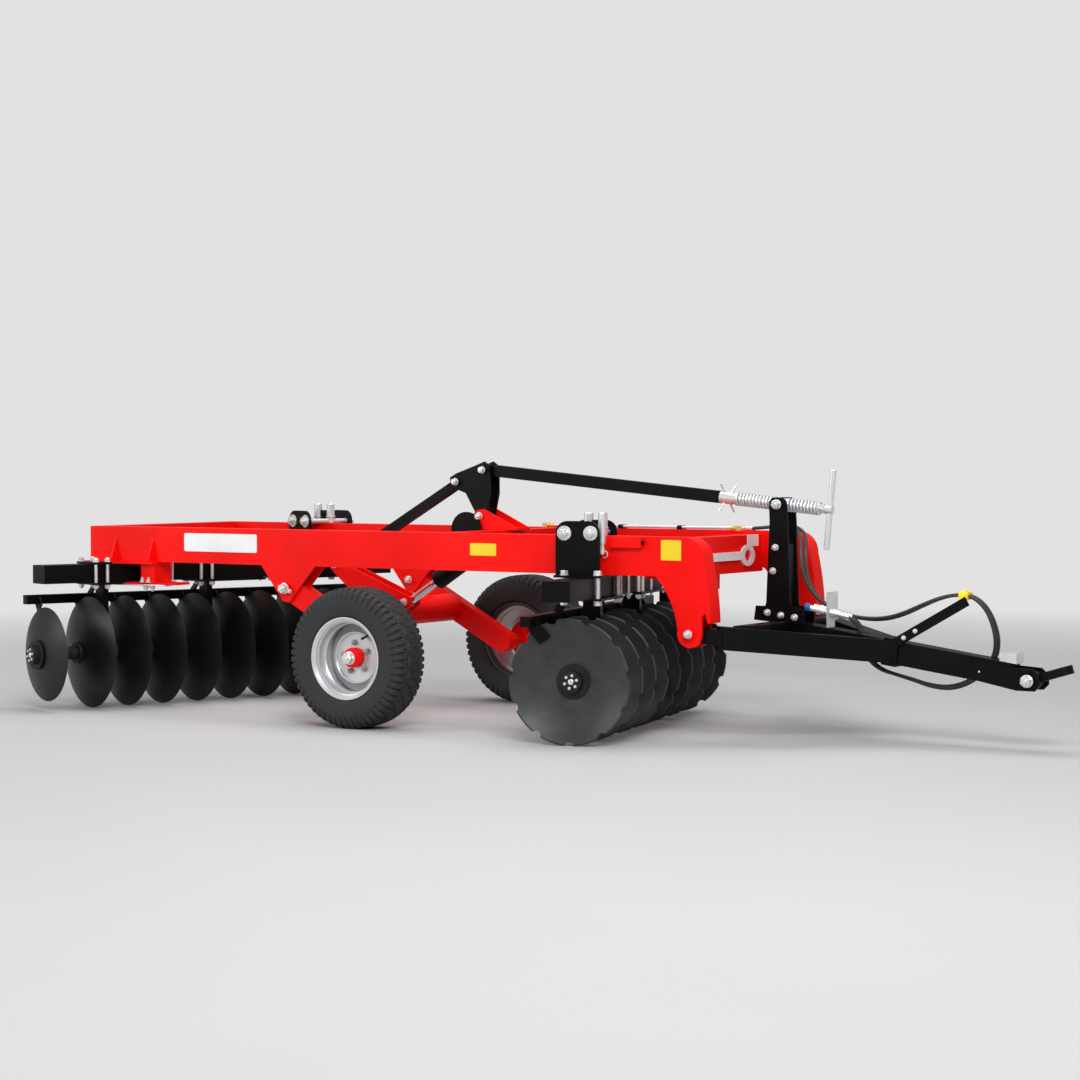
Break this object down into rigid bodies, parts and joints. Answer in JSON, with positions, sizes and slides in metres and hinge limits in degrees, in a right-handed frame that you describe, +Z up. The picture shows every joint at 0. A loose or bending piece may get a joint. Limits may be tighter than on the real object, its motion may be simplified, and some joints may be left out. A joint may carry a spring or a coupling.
{
  "type": "disc harrow",
  "caption": "Trailed offset disc harrow: two raked disc gangs under a twin-rail frame with a hydraulic lift axle, levelling linkage and hinged drawbar.",
  "frame": {"origin": "on the ground under the middle of the overall box", "axes": "+X towards the hitch, +Y to the machine's left, +Z up"},
  "size_m": [5.7125, 2.1641, 1.354],
  "materials": {
    "red_paint": "gloss",
    "black_paint": "satin",
    "zinc": "zinc plated",
    "chrome_rod": "polished",
    "disc_steel": "dark blued",
    "shaft_steel": "rough",
    "tyre": "matte",
    "rim_silver": "satin silver",
    "yellow_zinc": "yellow chromate",
    "yellow_plastic": "satin",
    "hose_rubber": "matte"
  },
  "bodies": {
    "chassis": {"arm_bracket_left": "red_paint", "arm_bracket_right": "red_paint", "cylinder_bracket": "black_paint", "ear_left": "red_paint", "ear_right": "red_paint", "front_angle_plate": "red_paint", "front_beam": "red_paint", "front_gang_bar": "black_paint", "front_hangers": "black_paint", "front_saddle": "black_paint", "front_scrapers": "black_paint", "hydraulic_pipes": "zinc", "mid_beam": "red_paint", "pipe_fittings": "yellow_zinc", "rail_left": "red_paint", "rail_right": "red_paint", "rear_angle_plate": "red_paint", "rear_beam": "red_paint", "rear_gang_bar": "black_paint", "rear_hangers": "black_paint", "rear_saddle": "black_paint", "rear_scrapers": "black_paint", "ring_spanner": "zinc", "tool_pocket": "red_paint", "tower": "red_paint"},
    "front_gang": {"front_discs": "disc_steel", "front_gang_shaft": "shaft_steel"},
    "rear_gang": {"rear_discs": "disc_steel", "rear_gang_shaft": "shaft_steel"},
    "lift_axle": {"lift_cross_tube": "red_paint", "wheel_arm_right": "red_paint", "wheel_arm_left": "red_paint"},
    "wheel_right": {"tyre_right": "tyre", "rim_right": "rim_silver", "hub_right": "red_paint"},
    "wheel_left": {"tyre_left": "tyre", "rim_left": "rim_silver", "hub_left": "red_paint"},
    "cylinder_barrel": {"cylinder_barrel": "black_paint"},
    "cylinder_rod": {"cylinder_rod": "chrome_rod"},
    "bell_crank": {"bell_crank": "black_paint"},
    "push_link": {"push_link": "black_paint"},
    "top_link": {"top_link": "black_paint", "levelling_screw": "zinc"},
    "drawbar": {"drawbar_leg_right": "black_paint", "drawbar_leg_left": "black_paint", "pole": "black_paint", "drawbar_cross_tube": "black_paint", "mast": "black_paint", "hitch_cheeks": "black_paint", "pole_collar": "black_paint", "hitch_block": "zinc", "hose_post": "black_paint", "hose_clip": "yellow_plastic", "hose_1": "hose_rubber", "hose_2": "hose_rubber", "hose_couplings": "zinc", "coupling_holder": "zinc"},
    "hitch_tongue": {"hitch_tongue": "black_paint"}
  },
  "joints": [
    {"name": "front_gang_spin", "type": "hinge", "parent": "chassis", "child": "front_gang", "pos_m": [0.687, -0.872, 0.305], "axis": [-0.225, 0.9744, 0], "continuous": true},
    {"name": "rear_gang_spin", "type": "hinge", "parent": "chassis", "child": "rear_gang", "pos_m": [-2.542, -0.812, 0.305], "axis": [0.3502, 0.9367, 0], "continuous": true},
    {"name": "lift", "type": "hinge", "parent": "chassis", "child": "lift_axle", "pos_m": [-1.252, 0, 0.686], "axis": [0, 1, 0], "range_deg": [-12, 25]},
    {"name": "wheel_right_spin", "type": "hinge", "parent": "lift_axle", "child": "wheel_right", "pos_m": [-0.65, -0.804, 0.359], "axis": [0, 1, 0], "continuous": true},
    {"name": "wheel_left_spin", "type": "hinge", "parent": "lift_axle", "child": "wheel_left", "pos_m": [-0.65, 0.804, 0.359], "axis": [0, 1, 0], "continuous": true},
    {"name": "cylinder_tilt", "type": "hinge", "parent": "chassis", "child": "cylinder_barrel", "pos_m": [-0.365, 0, 0.93], "axis": [0, 1, 0], "range_deg": [-7.95, 3.84]},
    {"name": "cylinder_stroke", "type": "slide", "parent": "cylinder_barrel", "child": "cylinder_rod", "axis": [-0.8426, 0, -0.5385], "range_m": [-0.0623, 0.1288]},
    {"name": "crank_tilt", "type": "hinge", "parent": "chassis", "child": "bell_crank", "pos_m": [-0.396, 0, 1.066], "axis": [0, 1, 0], "range_deg": [-7.18, 14.9]},
    {"name": "push_link_tilt", "type": "hinge", "parent": "bell_crank", "child": "push_link", "pos_m": [-0.553, 0, 1.247], "axis": [0, 1, 0], "range_deg": [-14.92, 7.19]},
    {"name": "top_link_tilt", "type": "hinge", "parent": "bell_crank", "child": "top_link", "pos_m": [-0.383, 0, 1.31], "axis": [0, 1, 0], "range_deg": [-14.5, 6.99]},
    {"name": "drawbar_tilt", "type": "hinge", "parent": "chassis", "child": "drawbar", "pos_m": [1.176, 0, 0.533], "axis": [0, 1, 0], "range_deg": [-2.84, 5.85], "deforming": ["hose_1", "hose_2"]},
    {"name": "tongue_tilt", "type": "hinge", "parent": "drawbar", "child": "hitch_tongue", "pos_m": [2.666, 0, 0.338], "axis": [0, 1, 0], "range_deg": [-25, 25]}
  ],
  "couplings": [
    {"joint": "cylinder_tilt", "follows": "lift", "ratio": -0.3162},
    {"joint": "cylinder_stroke", "follows": "lift", "m_per_rad": 0.2928},
    {"joint": "crank_tilt", "follows": "lift", "ratio": 0.5941},
    {"joint": "push_link_tilt", "follows": "lift", "ratio": -0.5948},
    {"joint": "top_link_tilt", "follows": "lift", "ratio": -0.578},
    {"joint": "drawbar_tilt", "follows": "lift", "ratio": 0.2322}
  ]
}
